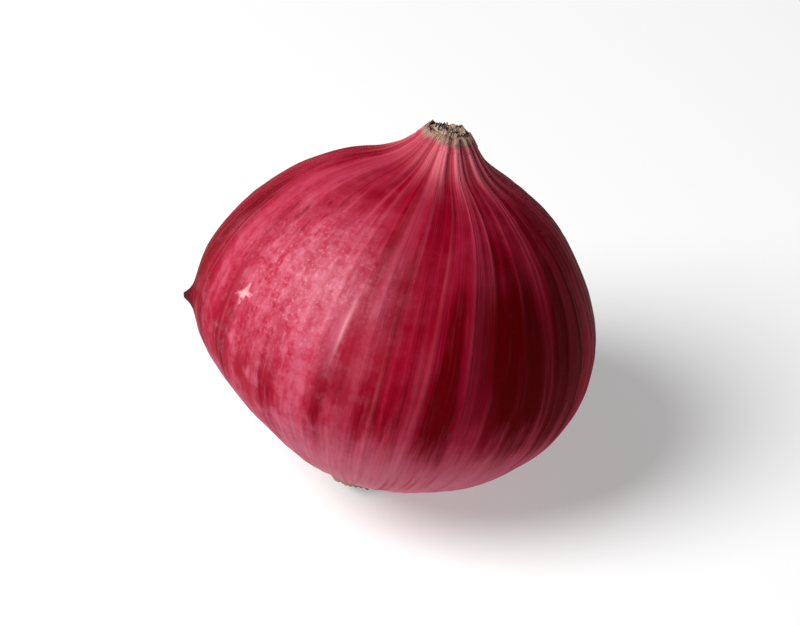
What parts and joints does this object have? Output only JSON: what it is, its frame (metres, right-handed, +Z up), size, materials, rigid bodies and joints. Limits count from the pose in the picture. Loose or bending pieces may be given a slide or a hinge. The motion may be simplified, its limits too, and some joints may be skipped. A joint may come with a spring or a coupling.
{
  "type": "shallot",
  "caption": "Round red shallot bulb with papery crimson skin, a short dried neck and a trimmed root plate, resting on a small flat spot",
  "frame": {"origin": "on the flat rest spot, straight below the bulb's centre of volume", "axes": "+Z up from the surface it rests on; the neck leans about 20 degrees from +Z, towards +X and +Y"},
  "size_m": [0.0445, 0.0436, 0.041],
  "materials": {
    "dry_skin": "satin papery skin, crimson with pale veins from neck to root"
  },
  "bodies": {
    "root": {"shallot": "dry_skin"}
  },
  "joints": []
}
